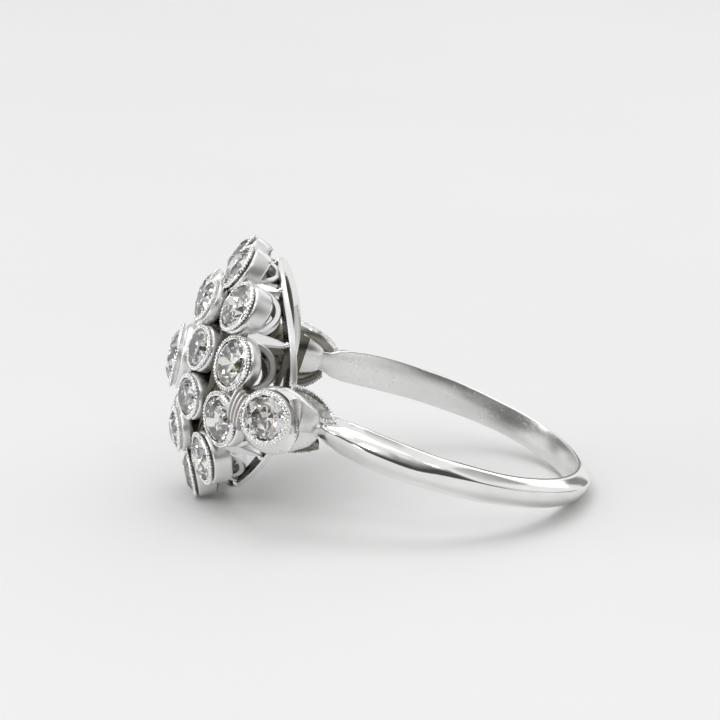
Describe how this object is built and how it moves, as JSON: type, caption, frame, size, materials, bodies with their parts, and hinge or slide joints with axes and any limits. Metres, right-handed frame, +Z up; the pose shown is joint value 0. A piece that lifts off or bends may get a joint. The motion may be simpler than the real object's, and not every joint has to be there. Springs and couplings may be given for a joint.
{
  "type": "diamond cluster ring",
  "caption": "Finger ring with a raised three-tier oval cluster of collet-set round diamonds on an arched gallery, a single stone and leaves at each shoulder, and a plain tapered shank.",
  "frame": {"origin": "middle of the ring's length and width, on the table that it lies on", "axes": "+Z up from the table, +X from the cluster towards the back of the shank, +Y across the finger hole towards the far shoulder. The finger's axis leans 18.6 degrees from +Z towards +X, as the ring lies on its side"},
  "size_m": [0.023, 0.0194, 0.014],
  "materials": {
    "white_metal": "polished white precious metal",
    "diamond": "cut and polished"
  },
  "bodies": {
    "root": {"ring_mount": "white_metal", "centre_stone": "diamond", "inner_stone_1": "diamond", "inner_stone_2": "diamond", "inner_stone_3": "diamond", "inner_stone_4": "diamond", "inner_stone_5": "diamond", "inner_stone_6": "diamond", "inner_stone_7": "diamond", "inner_stone_8": "diamond", "outer_stone_1": "diamond", "outer_stone_2": "diamond", "outer_stone_3": "diamond", "outer_stone_4": "diamond", "outer_stone_5": "diamond", "outer_stone_6": "diamond", "outer_stone_7": "diamond", "outer_stone_8": "diamond", "outer_stone_9": "diamond", "outer_stone_10": "diamond", "outer_stone_11": "diamond", "outer_stone_12": "diamond", "shoulder_stone_1": "diamond", "shoulder_stone_2": "diamond"}
  },
  "joints": []
}
